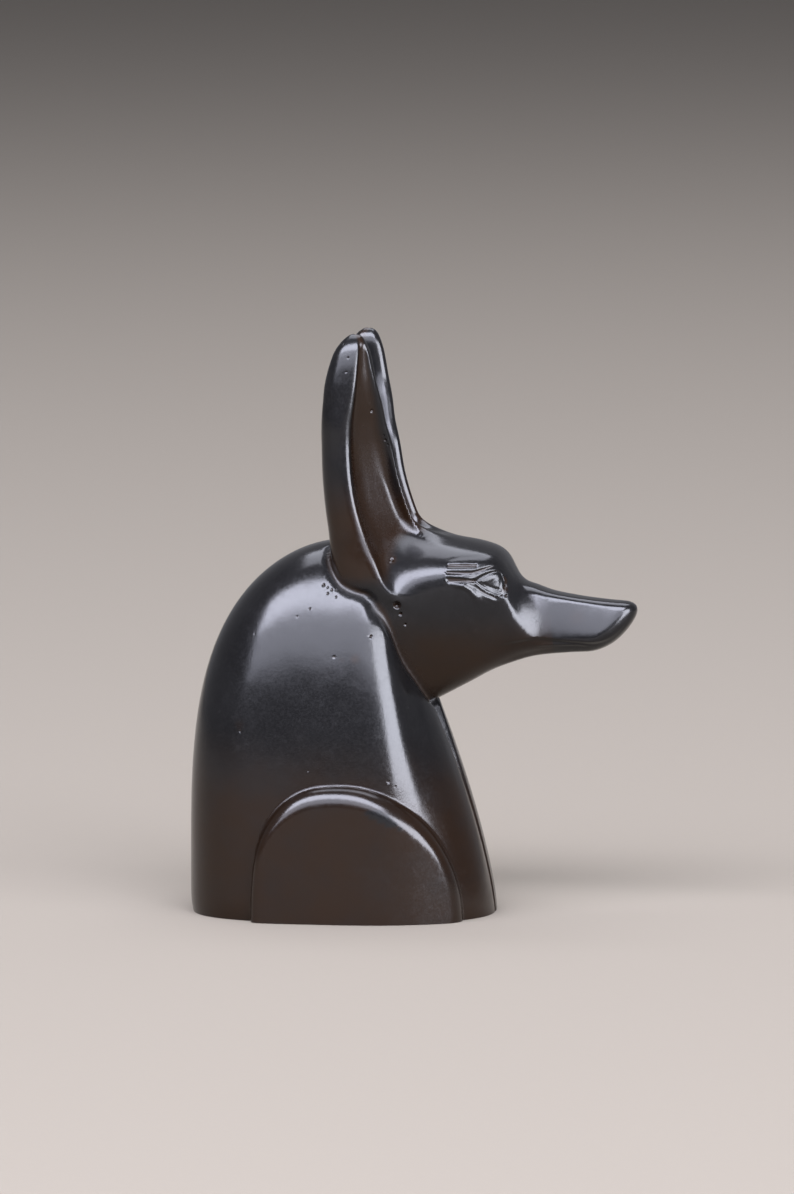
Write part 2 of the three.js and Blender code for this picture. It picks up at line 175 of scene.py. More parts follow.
@dataclass(frozen=True)
class Wig:
    """The bell-shaped wig with its two lappets, which makes the bust's body."""

    front: float = 28.6
    back: float = 28.6
    half_width: float = 20.2
    crown: float = 69.8
    axis: float = -3.0
    lean: float = 6.0
    lean_power: float = 5.0
    front_power: float = 2.35
    back_power: float = 2.8
    tuck_depth: float = 0.45
    tuck_height: float = 4.0
    parting_top: float = 52.0
    bell_power: Profile = profile((0, 1.34), (12, 1.38), (23, 1.48), (35, 1.7), (52, 2.4), (70, 2.72),
                                  (90, 2.7), (140, 2.76), (180, 2.75))
    wall_height: Profile = profile((0, 0), (40, 3), (90, 4), (140, 9), (180, 12))
    parting_width: Profile = profile((0, 0.8), (14, 1), (28, 1.5), (35, 2.6), (41, 3.6), (52, 4.6))
    parting_depth: Profile = profile((0, 0.3), (14, 0.45), (28, 0.9), (35, 2.4), (41, 3.6), (52, 4.4))

    def about_axis(self, x: Array, y: Array, z: Array | float) -> tuple[Array, Array, Array]:
        """Gives how far ahead of the leaning axis, how far out, and the degrees from the front."""
        ahead = x - self.axis - self.lean * np.clip(z / self.crown, 0, 1) ** self.lean_power
        return ahead, np.hypot(ahead, y), np.degrees(np.arctan2(np.abs(y), ahead))

    def foot_reach(self, turn: Array) -> Array:
        """Gives how far the foot reaches from the axis in each direction."""
        forward = turn < 90
        power = np.where(forward, self.front_power, self.back_power)
        length = np.where(forward, self.front - self.axis, self.back + self.axis)
        u = np.abs(np.cos(np.radians(turn))) / length
        v = np.sin(np.radians(turn)) / self.half_width
        return (u ** power + v ** power) ** (-1 / power)

    def field(self, x: Array, y: Array, z: Array) -> Array:
        """Gives the wig's field at points."""
        ahead, out, turn = self.about_axis(x, y, z)
        power = self.bell_power(turn)
        wall = self.wall_height(turn)
        rise = np.maximum(z - wall, 0)
        reach = out / self.foot_reach(turn)
        share = (reach ** power + (rise / (self.crown - wall)) ** power) ** (1 / power)
        bell = np.hypot(out, rise) * (1 - 1 / np.maximum(share, 1e-3))
        easing = np.maximum(1 - z / self.tuck_height, 0) ** 2
        tuck = self.tuck_depth * smoothstep(turn, 0, 90) * easing
        level = np.clip(z, 0, self.parting_top)
        width = self.parting_width(level)
        nearness = 1 - smoothstep(np.abs(y) / width, 0.4, 1.1)
        return bell + tuck + np.where(ahead > 0, self.parting_depth(level) * nearness, 0)


@dataclass(frozen=True)
class Shoulder:
    """The upper arm, cut off flat: a low arch that stands out of each side of the wig."""

    x: float = 2.5
    back_reach: float = 17.0
    back_power: float = 2.7
    front_reach: float = 21.8
    front_power: float = 1.95
    height: float = 26.1
    half_width: float = 22.4
    proud: float = 2.4
    foot_edge: float = 2.0
    crown_edge: float = 4.8

    def field(self, wig: Wig, x: Array, y: Array, z: Array) -> Array:
        """Gives the field of both shoulders.

        Args:
            wig: The wig that the shoulders stand out of.
            x: Places along the muzzle.
            y: Places across the bust.
            z: Heights.

        Returns:
            The shoulders' field.
        """
        behind = x < self.x
        reach = np.where(behind, self.back_reach, self.front_reach)
        power = np.where(behind, self.back_power, self.front_power)
        arch = superellipse(x - self.x, np.maximum(z, 0), reach, self.height, power)
        _, out, turn = wig.about_axis(x, y, 0)
        wall = out - wig.foot_reach(turn) - self.proud
        face = round_max(wall, np.abs(y) - self.half_width, 1.5)
        edge = self.foot_edge + (self.crown_edge - self.foot_edge) * smoothstep(z, 12, 24)
        return round_max(arch, face, edge)


class Cut(Enum):
    """How a carved stroke meets the stone."""

    GROOVE = 1
    RIDGE = -1


@dataclass(frozen=True)
class Stroke:
    """One carved line on the side of the face, given as a path in the side view."""

    path: tuple[Place, ...]
    half: tuple[float, float]
    depth: float
    cut: Cut = Cut.GROOVE
    flat: float = 0.0
    fade: tuple[float, float] = (0.0, 0.0)

    def carve(self, x: Array, z: Array) -> Array:
        """Gives the stroke's depth into the stone, negative where it stands proud."""
        distance, along = from_path(x, z, self.path)
        half = self.half[0] + (self.half[1] - self.half[0]) * along
        beyond = np.maximum(distance - half * self.flat, 0)
        strength = self.cut.value * self.depth * bump(beyond, half * (1 - self.flat))
        for fade, from_end in zip(self.fade, (along, 1 - along)):
            if fade:
                strength = strength * smoothstep(from_end, 0, fade)
        return strength


@dataclass(frozen=True)
class Face:
    """The carving on each side of the face: eye, lids, brow, cosmetic stripe and lips."""

    starts: float = 19.0
    socket_at: Place = (28.8, 63.2)
    socket_half: Place = (5.6, 4.0)
    socket_depth: float = 0.5
    cheek_at: Place = (29.8, 57.0)
    cheek_half: Place = (3.6, 5.2)
    cheek_depth: float = 0.25
    outer: float = 26.2
    inner: float = 31.4
    upper_lid: Profile = profile((26.2, 63.4), (27.5, 64.3), (28.8, 64.85), (29.9, 65), (30.7, 64.5),
                                 (31.4, 62.6))
    lower_lid: Profile = profile((26.2, 63.3), (27.25, 62.35), (28.4, 61.55), (29.6, 60.95), (31.4, 60.6))
    lid_slope: float = 0.85
    ball_height: float = 0.2
    ball_rise: Place = (0.15, 1.3)
    ball_tilt: float = 0.12
    ball_top: float = 64.0
    iris_at: Place = (29.9, 62.75)
    iris_radius: float = 0.9
    iris_depth: float = 0.02
    iris_width: float = 0.35
    rim_depth: float = 0.1
    rim_width: float = 0.42
    worn_at: Place = (26.8, 64.2)
    worn_half: Place = (8.5, 4.6)
    lip: Profile = profile((28.2, 50.7), (30.8, 51.5), (33.7, 52.2), (36.8, 52.7), (40.9, 52.4),
                           (44.3, 52.1), (47.8, 51.95), (50.3, 52.55), (52, 53.7), (53.7, 55.8))
    lip_step: float = 0.42
    lip_width: float = 0.75
    lip_starts: Place = (28, 34)
    lip_ends: Place = (52.5, 54.5)
    strokes: tuple[Stroke, ...] = (
        Stroke(((20.4, 67.15), (23.5, 67.6), (28.5, 67.85)), (0.55, 0.5), 0.04, fade=(0.2, 0.4)),
        Stroke(((21.4, 66.2), (26.2, 66.2)), (0.52, 0.48), 0.17, flat=0.1),
        Stroke(((21.4, 65.55), (26.2, 65.55), (27.8, 66.1)), (0.45, 0.6), 0.05, Cut.RIDGE,
               fade=(0.1, 0.3)),
        Stroke(((21.2, 65.0), (25.6, 64.92), (27.4, 65.4), (30.6, 66.35)), (0.48, 0.44), 0.13,
               fade=(0, 0.25)),
        Stroke(((21.2, 64.35), (23.5, 64.25), (25.5, 63.95), (26.1, 64.05), (27.4, 64.7), (28.9, 65.25),
                (30.1, 65.4), (31.4, 64.7)), (0.44, 0.46), 0.08, Cut.RIDGE, fade=(0, 0.2)),
        Stroke(((21.6, 63.62), (23.5, 63.58), (26.2, 63.4)), (0.75, 0.45), 0.14, flat=0.2),
        Stroke(((20.7, 64.9), (20.8, 63.7), (21.5, 62.75)), (0.4, 0.4), 0.06, Cut.RIDGE),
        Stroke(((21.5, 62.8), (24.2, 62.5), (25.5, 61.7), (26.5, 60.3), (27.0, 58.4)), (0.6, 1.1), 0.22,
               Cut.RIDGE, fade=(0.3, 0.4)),
        Stroke(((26.4, 63.05), (27.2, 62.25), (28.4, 61.45), (29.6, 60.85), (30.8, 60.4)), (0.38, 0.42),
               0.07, Cut.RIDGE, fade=(0, 0.2)),
        Stroke(((25.9, 62.75), (27.1, 61.55), (28.4, 60.75), (30.9, 59.7)), (0.46, 0.5), 0.09,
               fade=(0.2, 0.25)),
        Stroke(((27.5, 60.9), (30.3, 59.2)), (0.6, 0.6), 0.04, Cut.RIDGE, fade=(0.3, 0.3)),
        Stroke(((30.9, 64.4), (31.5, 63.2), (31.5, 61.6)), (0.6, 0.65), 0.1, fade=(0.25, 0.25)),
        Stroke(((25.2, 55.4), (25.9, 53.4)), (1.3, 1.1), 0.12, Cut.RIDGE),
        Stroke(((36, 50.95), (41, 51.2), (44.5, 51.2), (47.5, 50.8)), (0.45, 0.45), 0.1, Cut.RIDGE,
               fade=(0.2, 0.2)),
    )

    def inside_eye(self, x: Array, z: Array) -> Array:
        """Gives how far places lie inside the eye's outline, negative outside."""
        at = np.clip(x, self.outer, self.inner)
        above = (self.upper_lid(at) - z) * self.lid_slope
        below = (z - self.lower_lid(at)) * self.lid_slope
        return np.minimum(np.minimum(above, below), np.minimum(x - self.outer, self.inner - x))

    def depth(self, x: Array, z: Array) -> Array:
        """Gives the carving's depth into the stone, negative where it stands proud."""
        inside = self.inside_eye(x, z)
        from_socket = in_oval(x, z, self.socket_at, self.socket_half)
        from_cheek = in_oval(x, z, self.cheek_at, self.cheek_half)
        hollows = self.socket_depth * bump(from_socket, 1) + self.cheek_depth * bump(from_cheek, 1)
        facing_down = self.ball_tilt * (self.ball_top - z) * smoothstep(inside, 0.1, 0.9)
        ball = facing_down - self.ball_height * smoothstep(inside, *self.ball_rise)
        rim = self.rim_depth * bump(np.abs(inside - 0.1), self.rim_width)
        from_iris = np.hypot(x - self.iris_at[0], z - self.iris_at[1]) - self.iris_radius
        iris = self.iris_depth * bump(np.abs(from_iris), self.iris_width) * smoothstep(inside, 0, 0.4)
        below_lip = smoothstep(self.lip(x) - z, 0, self.lip_width) * smoothstep(x, *self.lip_starts)
        below_lip = below_lip * (1 - smoothstep(x, *self.lip_ends))
        marks = sum(stroke.carve(x, z) for stroke in self.strokes)
        return hollows + ball + rim + iris + self.lip_step * below_lip + marks


@dataclass(frozen=True)
class Head:
    """The jackal's head, as stations from inside the wig to the nose."""

    starts: float = 4.0
    nose_tip: float = 55.6
    top: Profile = profile((4, 65.5), (8, 69.4), (12, 71), (16, 71.5), (22, 70.6), (27, 69.6), (29.4, 68.6),
                           (30.7, 67.4), (31.8, 65.6), (32.8, 63.9), (34, 62.7), (36, 61.9), (39, 60.8),
                           (43, 60), (50, 59.2), (56, 58.9))
    bottom: Profile = profile((4, 33), (12, 37.2), (18, 40.3), (24, 43.5), (28, 45.7), (32, 47.3),
                              (36, 48.5), (42, 49.2), (48, 49.5), (56, 50))
    brow_width: Profile = profile((4, 7), (16, 8.2), (22, 8.4), (27, 8.1), (29.5, 7.2), (31.5, 5.6),
                                  (34, 4.2), (38, 3.6), (44, 3.2), (56, 2.6))
    cheek_width: Profile = profile((4, 12), (14, 12.6), (21, 12.1), (25, 11.25), (27, 10.5), (30, 9.2),
                                   (33, 7.9), (36, 6.6), (39, 5.7), (42, 5.35), (46, 5.15), (50, 4.9),
                                   (56, 4.2))
    jaw_width: Profile = profile((4, 4), (16, 3.8), (24, 4.4), (30, 4.3), (38, 4.2), (46, 3.8), (56, 3))
    cheek_level: Profile = profile((4, 0.66), (16, 0.67), (22, 0.7), (29, 0.71), (32, 0.62), (34, 0.47),
                                   (36, 0.32), (38.5, 0.24), (44, 0.24), (50, 0.26), (56, 0.3))
    brow_power: Profile = profile((4, 2), (30, 2), (35, 1.7), (38, 1.45), (56, 1.4))
    jaw_power: Profile = profile((4, 1.4), (20, 1.6), (32, 2), (56, 2))
    brow_edge: Profile = profile((4, 5), (18, 3), (24, 2.2), (30, 1.5), (36, 1.1), (56, 0.9))
    crown_drop: Profile = profile((4, 3), (16, 2.4), (24, 1.8), (30, 1.2), (36, 0.4), (56, 0.3))
    throat_edge: float = 3.6
    nose_ridge: float = 59.0
    nose_slant: float = 0.094
    nose_slant_power: float = 1.9
    nose_roundness: float = 0.07
    nose_edge: float = 2.5
    nose_slope: float = 0.85
    side_slope: float = 0.92
    past_ends: float = 1.2
    carving_from: Place = (2, 4)
    neck_edge: float = 2.0

    def half_width(self, x: Array, share: Array) -> Array:
        """Gives half the head's width.

        Args:
            x: Stations along the muzzle.
            share: The share of the way up from throat to brow.

        Returns:
            Half the width, in millimetres.
        """
        level, cheek = self.cheek_level(x), self.cheek_width(x)
        jaw, brow = self.jaw_width(x), self.brow_width(x)
        drop = np.clip((level - share) / level, 0, self.past_ends)
        rise = np.clip((share - level) / (1 - level), 0, self.past_ends)
        under = jaw + (cheek - jaw) * (1 - drop ** self.jaw_power(x))
        over = brow + (cheek - brow) * (1 - rise ** self.brow_power(x))
        return np.where(share < level, under, over)

    def field(self, face: Face, x: Array, y: Array, z: Array) -> Array:
        """Gives the head's field, with the face carved in.

        Args:
            face: The carving.
            x: Places along the muzzle.
            y: Places across the head.
            z: Heights.

        Returns:
            The head's field.
        """
        at = np.clip(x, self.starts, self.nose_tip)
        top, bottom = self.top(at), self.bottom(at)
        side = (np.abs(y) - self.half_width(at, (z - bottom) / (top - bottom))) * self.side_slope
        crown = z - top + self.crown_drop(at) * (y / self.brow_width(at)) ** 2
        reach = smoothstep(np.abs(y), *self.carving_from) * (x > face.starts)
        carved = face.depth(x, z) * reach
        body = round_max(round_max(side, crown, self.brow_edge(at)), bottom - z, self.throat_edge) + carved
        slant = self.nose_slant * np.maximum(self.nose_ridge - z, 0) ** self.nose_slant_power
        nose = (x - self.nose_tip + slant + self.nose_roundness * y * y) * self.nose_slope
        return round_max(round_max(body, nose, self.nose_edge), self.starts - 1 - x, self.neck_edge)


@dataclass(frozen=True)
class Ear:
    """Both ears: upright horns, each opened on the side that faces out and forward."""

    tip: float = 108.9
    foot: float = 61.0
    hollow_turn: float = math.pi / 4
    x: Profile = leveled(EAR_HEIGHTS, 11, 10.2, 9.2, 7.9, 6.2, 5.25, 4.3, 3.7, 3.2, 3.1, 3.25)
    depth: Profile = leveled(EAR_HEIGHTS, 10.6, 11.2, 10.8, 10.1, 9, 8.25, 7.3, 6.4, 5.4, 3.9, 2.05)
    y: Profile = leveled(EAR_HEIGHTS, 8.6, 8.4, 8.1, 7.9, 7.7, 7.65, 8, 8.3, 8.6, 8.3, 7.7)
    width: Profile = leveled(EAR_HEIGHTS, 5.6, 5.65, 5.5, 5.4, 5.15, 4.8, 4.2, 3.5, 2.8, 2.2, 1.4)
    section: float = 2.5
    cap_bow: float = 0.2
    cap_length_share: float = 0.6
    cap_edge: float = 2.2
    root_edge: float = 3.0
    rim_reach: Profile = leveled(EAR_HEIGHTS, 17.2, 15.3, 13.2, 11.95, 10.75, 10.2, 10.2, 10.5, 10.6,
                                 10.3, 9.9)
    hollow_middle: Profile = profile((61, 3.1), (66.6, 2.3), (72, 1.1), (76, 0.2), (82, -0.8),
                                     (88, -1.55), (92, -2.15), (96, -2.5), (100, -2.9), (109, -3.1))
    hollow_half: Profile = leveled(EAR_HEIGHTS, 5.6, 5.9, 5.9, 5.65, 5.15, 4.5, 3.8, 3.05, 2.1, 1.2, 0.5)
    hollow_depth: Profile = profile((61, 1.1), (66.6, 1.9), (72, 2.3), (80, 2.5), (86, 2.1), (92, 1.5),
                                    (98, 1.05), (103, 0.75), (109, 0.15))
    outer_power: float = 3.4
    front_power: Profile = profile((61, 4), (67, 5), (73, 6.5), (80, 7), (87, 5), (93, 3.4), (109, 2.6))
    lip_softness: float = 0.3
    past_rim: float = 1.5
    opening_slope: float = 0.9
    rim_edge: float = 1.0
    front_rim_edge: float = 2.4
    front_rim_from: Place = (0, 2)

    def across(self, x: Array, y: Array, at: Array) -> Array:
        """Gives how far points lie from the hollow's middle, positive towards its front rim."""
        turned = x * math.sin(self.hollow_turn) - np.abs(y) * math.cos(self.hollow_turn)
        return turned - self.hollow_middle(at)

    def hollow(self, x: Array, y: Array, z: Array) -> Array:
        """Gives the share of the hollow's full depth at points, 0 on the rims and outside."""
        at = np.clip(z, self.foot, self.tip)
        across = self.across(x, y, at)
        power = np.where(across < 0, self.outer_power, self.front_power(at))
        share = 1 - np.minimum(np.abs(across / self.hollow_half(at)), self.past_rim) ** power
        return round_max(share, 0, self.lip_softness)

    def horn_and_opening(self, x: Array, y: Array, z: Array) -> tuple[Array, Array]:
        """Gives the fields of the upright horns and of the cut that opens them.

        Args:
            x: Places along the muzzle.
            y: Places across the head.
            z: Heights.

        Returns:
            The two fields, whose larger value is the ears' field before the rims are rounded.
        """
        at = np.clip(z, self.foot, self.tip)
        side = np.abs(y)
        u, v = x - self.x(at), side - self.y(at)
        horn = superellipse(u, v, self.depth(at), self.width(at), self.section)
        cap = z - self.tip + self.cap_bow * (u * u * self.cap_length_share + v * v)
        solid = round_max(round_max(horn, cap, self.cap_edge), self.foot - z, self.root_edge)
        outward = x * math.cos(self.hollow_turn) + side * math.sin(self.hollow_turn)
        opening = outward - self.rim_reach(at) + self.hollow_depth(at) * self.hollow(x, y, z)
        return solid, opening * self.opening_slope

    def field(self, x: Array, y: Array, z: Array) -> Array:
        """Gives the field of both ears."""
        solid, opening = self.horn_and_opening(x, y, z)
        across = self.across(x, y, np.clip(z, self.foot, self.tip))
        forward = smoothstep(across, *self.front_rim_from)
        return round_max(solid, opening, self.rim_edge + (self.front_rim_edge - self.rim_edge) * forward)


@dataclass(frozen=True)
class Pit:
    """A small flaw in the stone, at a place in the side view of one side."""

    x: float
    z: float
    radius: float
    depth: float
    side: int = -1

    def dent(self, x: Array, y: Array, z: Array) -> Array:
        """Gives the pit's depth at points."""
        distance = np.hypot(x - self.x, z - self.z)
        return self.depth * bump(distance, self.radius) * (np.sign(y) == self.side)


def flaws(*rows: tuple[float, ...]) -> tuple[Pit, ...]:
    """Makes flaws from rows of x, z, radius and depth, with a 1 after them on the far side."""
    return tuple(Pit(*row) for row in rows)


@dataclass(frozen=True)
class Wear:
    """The pits and tool marks that the bust shows, and a few like them on its far side."""

    pits: tuple[Pit, ...] = flaws(
        (-1.9, 62.4, 0.42, 0.3), (-0.3, 61.55, 0.36, 0.28), (-1.0, 60.9, 0.34, 0.25),
        (0.6, 60.3, 0.3, 0.22), (-1.1, 62.0, 0.28, 0.2), (0.5, 61.5, 0.24, 0.18),
        (-4.15, 58.1, 0.34, 0.24), (-6.5, 56.7, 0.3, 0.16), (-14.5, 53.3, 0.26, 0.12),
        (7.4, 53.25, 0.36, 0.4), (0.75, 49.5, 0.42, 0.2), (-16.8, 35.4, 0.36, 0.14),
        (-3.7, 28.45, 0.26, 0.12), (11.9, 58.9, 1.0, 0.6), (12.5, 57.2, 0.5, 0.35),
        (13.3, 55.2, 0.4, 0.25), (11.2, 26.5, 0.3, 0.16), (12.4, 25.6, 0.26, 0.14),
        (31.4, 62.1, 0.36, 0.3), (31.7, 60.5, 0.34, 0.3), (30.9, 60.5, 0.26, 0.22),
        (30.3, 61.8, 0.22, 0.16), (6.2, 94.6, 0.34, 0.2), (8.5, 88.9, 0.35, 0.24),
        (8.9, 88.1, 0.26, 0.18), (8.2, 89.8, 0.24, 0.14), (7.2, 102.4, 0.3, 0.18),
        (7.0, 103.2, 0.24, 0.14), (1.4, 107.0, 0.24, 0.12), (2.4, 104.6, 0.3, 0.14),
        (2.1, 102.0, 0.26, 0.12), (10.4, 66.9, 0.5, 0.2), (-10.0, 52.0, 0.4, 0.16, 1),
        (6.0, 44.0, 0.35, 0.14, 1), (-16.0, 30.0, 0.4, 0.15, 1), (11.9, 58.9, 0.8, 0.4, 1),
        (31.4, 62.1, 0.36, 0.3, 1), (31.7, 60.5, 0.34, 0.3, 1))
    scuffs: tuple[Pit, ...] = flaws(
        (-0.6, 61.4, 2.6, 0.9), (15.2, 63.1, 3.0, 1.0), (12.4, 57.6, 2.6, 0.7), (14.6, 52.5, 2.4, 0.5),
        (25.9, 54.0, 1.7, 1.0), (36.8, 59.0, 2.8, 0.8), (37.2, 55.6, 2.6, 1.0), (44.0, 56.0, 4.0, 0.4),
        (13.0, 24.2, 2.8, 0.9), (15.4, 21.0, 2.4, 0.8), (1.8, 105.0, 3.0, 0.8), (8.4, 89.2, 1.8, 0.8),
        (7.2, 101.0, 2.4, 0.7), (24.0, 66.0, 4.0, 0.4), (31.5, 61.0, 1.8, 0.9),
        (15.0, 62.0, 3.4, 0.7, 1), (37.0, 57.0, 3.0, 0.8, 1), (1.8, 104.0, 3.0, 0.7, 1),
        (-6.0, 58.0, 3.4, 0.6, 1))
    rust: tuple[Pit, ...] = flaws(
        (4.7, 49.2, 1.6, 1.0), (2.2, 49.0, 1.2, 0.5), (-17.0, 36.5, 2.4, 0.4), (44.5, 56.4, 3.0, 0.5),
        (10.6, 67.0, 1.5, 0.9), (31.4, 61.6, 1.1, 0.9), (5.0, 47.0, 2.0, 0.5, 1))

    def dent(self, x: Array, y: Array, z: Array) -> Array:
        """Gives the depth of all the pits at points."""
        return sum(pit.dent(x, y, z) for pit in self.pits)

    @staticmethod
    def patches(marks: Sequence[Pit], x: Array, y: Array, z: Array) -> Array:
        """Gives how strongly a kind of patch shows at points, 0 to 1."""
        return np.max([mark.dent(x, y, z) for mark in marks], axis=0)

    def nearest(self, x: Array, y: Array, z: Array) -> Array:
        """Gives the distance to the nearest pit's edge in the side view."""
        edges = [np.where(np.sign(y) == pit.side, np.hypot(x - pit.x, z - pit.z) - pit.radius, np.inf)
                 for pit in self.pits]
        return np.min(edges, axis=0)


@dataclass(frozen=True)
class Stone:
    """The whole stone: ears grow out of the head, and both meet the wig in a sharp valley."""

    wig: Wig = Wig()
    shoulder: Shoulder = Shoulder()
    head: Head = Head()
    face: Face = Face()
    ear: Ear = Ear()
    wear: Wear = Wear()
    ear_valley: float = 4.2
    shoulder_valley: float = 0.4
    head_valley: float = 0.8
    wig_edge_depth: float = 0.8
    wig_edge_width: float = 2.1
    crease_shade_reach: float = 0.9
    arch_wax_reach: float = 0.5
    ear_blend: float = 1.8
    hollow_brown: Place = (64, 72)
    stem_brown: tuple[Place, Place] = ((60, 66), (72, 88))
    throat_brown: Place = (46, 62)
    foot_reflection_brown: Place = (14, 44)
    open_edge: float = 0.95
    valley_edge: float = 0.48
    carved_edge: float = 0.25
    valley_reach: float = 0.9
    rim_reach: float = 2.4
    rim_core: float = 1.2
    eye_box: tuple[Place, Place] = ((19.5, 34), (58.4, 68.6))
    lip_span: Place = (28, 54.5)
    lip_band: float = 1.3

    def forms(self, points: Array) -> tuple[Array, Array, Array, Array]:
        """Gives the fields of the wig, the shoulders, the head and the ears at rows of x, y and z."""
        x, y, z = points.T
        return (self.wig.field(x, y, z), self.shoulder.field(self.wig, x, y, z),
                self.head.field(self.face, x, y, z), self.ear.field(x, y, z))

    def field(self, points: Array) -> Array:
        """Gives the joined field with the wear cut in."""
        wig, shoulder, head, ear = self.forms(points)
        eared = round_min(head, ear, self.ear_valley)
        bust = round_min(wig, shoulder, self.shoulder_valley)
        edged = bust + self.wig_edge_depth * bump(eared, self.wig_edge_width)
        return round_min(eared, edged, self.head_valley) + self.wear.dent(*points.T)

    def slope(self, points: Array, value: Array, step: float = 0.02) -> Array:
        """Gives the field's slope along each axis, from its value and from a step further on."""
        ahead = [self.field(points + step * np.eye(3)[axis]) for axis in range(3)]
        return (np.column_stack(ahead) - value[:, None]) / step

    def settle(self, points: Array, rounds: int, stride: float) -> Array:
        """Moves points along the slope onto the stone's surface.

        Args:
            points: One row for each point.
            rounds: How many times each point is moved.
            stride: The longest move in one round.

        Returns:
            The moved points.
        """
        gentlest = 0.2
        for _ in range(rounds):
            value = self.field(points)
            slope = self.slope(points, value)
            steep = np.maximum((slope ** 2).sum(axis=1), gentlest)
            points = points - slope * np.clip(value / steep, -stride, stride)[:, None]
        return points

    def recess(self, points: Array) -> Array:
        """Gives how deep in a valley or a carved line each point lies, 0 to 1: wax left there, and painted
        shade in the creases.

        Args:
            points: One row for each point on the surface.

        Returns:
            The share of wax that stays there after polishing, with painted shade added in the creases under
            the head and ears.
        """
        x, y, z = points.T
        wig, shoulder, head, ear = self.forms(points)
        between = np.maximum(np.minimum(head, ear), np.minimum(wig, shoulder))
        # Painted shade: the colour turns to the wax colour towards the creases where the head and ears meet
        # the wig, along with real wax left there.
        crease_shade = np.exp(-np.maximum(between, 0) / self.crease_shade_reach)
        arch = 0.8 * np.exp(-np.maximum(np.maximum(wig, shoulder), 0) / self.arch_wax_reach)
        lines = sum(stroke.carve(x, z) for stroke in self.face.strokes)
        carved = smoothstep(lines, 0.02, 0.12) * (x > self.face.starts) * (head < 0.5) * (ear > 0)
        pits = smoothstep(self.wear.dent(x, y, z), 0.03, 0.12)
        return np.max([crease_shade, arch, carved, pits], axis=0)

    def patina_and_reflection(self, points: Array) -> Array:
        """Gives how brown each point's polish is: most in the ears and under the face, and low on the bust,
        where the brown is patina with painted warm reflection.

        Args:
            points: One row for each point on the surface.

        Returns:
            The share of brown, 0 to 1.
        """
        x, y, z = points.T
        wig, _, head, ear = self.forms(points)
        on_ear = bump(np.maximum(ear, 0), self.ear_blend)
        hollow = self.ear.hollow(x, y, z) * on_ear * smoothstep(z, *self.hollow_brown)
        stem_foot, stem_top = self.stem_brown
        stem = 0.9 * on_ear * smoothstep(z, *stem_foot) * (1 - smoothstep(z, *stem_top))
        throat = 0.9 * (head < 0.4) * (wig > 0) * (1 - smoothstep(z, *self.throat_brown)) * (x < 40)
        # Painted reflection: the brown grows towards the table, standing in for warm light reflected low on
        # the bust, as well as patina.
        foot = 0.8 * (wig < 3) * (1 - smoothstep(z, *self.foot_reflection_brown)) * (head > 0)
        rust = self.wear.patches(self.wear.rust, x, y, z)
        return np.max([hollow, stem, throat, foot, rust], axis=0)

    def unpolished(self, points: Array) -> Array:
        """Gives where the polisher's cloth has not reached, 0 to 1.

        Args:
            points: One row for each point on the surface.

        Returns:
            1 in the ears' hollows and in the crease behind the face, 0 on the open surfaces.
        """
        x, y, z = points.T
        wig, _, head, ear = self.forms(points)
        on_ear = bump(np.maximum(ear, 0), self.ear_blend)
        floor = smoothstep(self.ear.hollow(x, y, z), 0.1, 0.6) * on_ear * smoothstep(z, 62, 70)
        lower = 1 - 0.7 * smoothstep(z, 84, 98)
        crease = 0.8 * bump(np.maximum(np.minimum(head, ear), wig), 2.2)
        from_eye = in_oval(x, z, self.face.worn_at, self.face.worn_half)
        return np.max([0.4 * floor * lower, crease, 0.22 * bump(from_eye, 1) * (head < 1)], axis=0)

    def wanted_edge(self, points: Array) -> Array:
        """Gives how long a mesh edge may be at points: short where the stone is finely carved.

        Args:
            points: One row for each place.

        Returns:
            The longest edge, in millimetres.
        """
        x, y, z = points.T
        wig, shoulder, head, ear = self.forms(points)
        edge = np.full(x.shape, self.open_edge)
        between = np.maximum(np.minimum(head, ear), np.minimum(wig, shoulder))
        valley = np.minimum(between, np.maximum(wig, shoulder))
        edge = np.where(valley < self.valley_reach, self.valley_edge, edge)
        parting = (x > 8) & (z < self.wig.parting_top) & (np.abs(y) < 1.4 * self.wig.parting_width(z))
        parting_edge = np.where(z < 24, self.carved_edge, self.valley_edge)
        edge = np.where(parting & (wig < 0.6), parting_edge, edge)
        horn, opening = self.ear.horn_and_opening(x, y, z)
        near_rim = np.where(ear < 1.4, np.abs(horn - opening), np.inf)
        edge = np.where(near_rim < self.rim_reach, self.valley_edge, edge)
        edge = np.where((near_rim < self.rim_core) & (z > 64), self.carved_edge, edge)
        sides = (np.abs(y) > 2.5) & (head < 1)
        eye = sides & within(x, self.eye_box[0]) & within(z, self.eye_box[1])
        lips = sides & within(x, self.lip_span) & (np.abs(z - self.face.lip(x) + 0.7) < self.lip_band)
        edge = np.where(eye | lips, self.carved_edge, edge)
        return np.where(self.wear.nearest(x, y, z) < 0.3, self.carved_edge, edge)


# The mesh

def select_only(piece: bpy.types.Object) -> None:
    """Deselects everything but one piece and makes it the active one."""
    bpy.ops.object.select_all(action="DESELECT")
    piece.select_set(True)
    bpy.context.view_layer.objects.active = piece


def corner_array(mesh: bpy.types.Mesh) -> Array:
    """Gives a mesh's corners, one row each, in millimetres."""
    flat = np.empty(len(mesh.vertices) * 3)
    mesh.vertices.foreach_get("co", flat)
    return flat.reshape(-1, 3) / MM


def face_array(mesh: bpy.types.Mesh, what: str, width: int) -> Array:
    """Gives one value or vector for each face of a mesh.

    Args:
        mesh: The mesh.
        what: The name of the faces' value, such as center or area.
        width: How many numbers each face has.

    Returns:
        One row for each face.
    """
    flat = np.empty(len(mesh.polygons) * width)
    mesh.polygons.foreach_get(what, flat)
    return flat.reshape(-1, width)


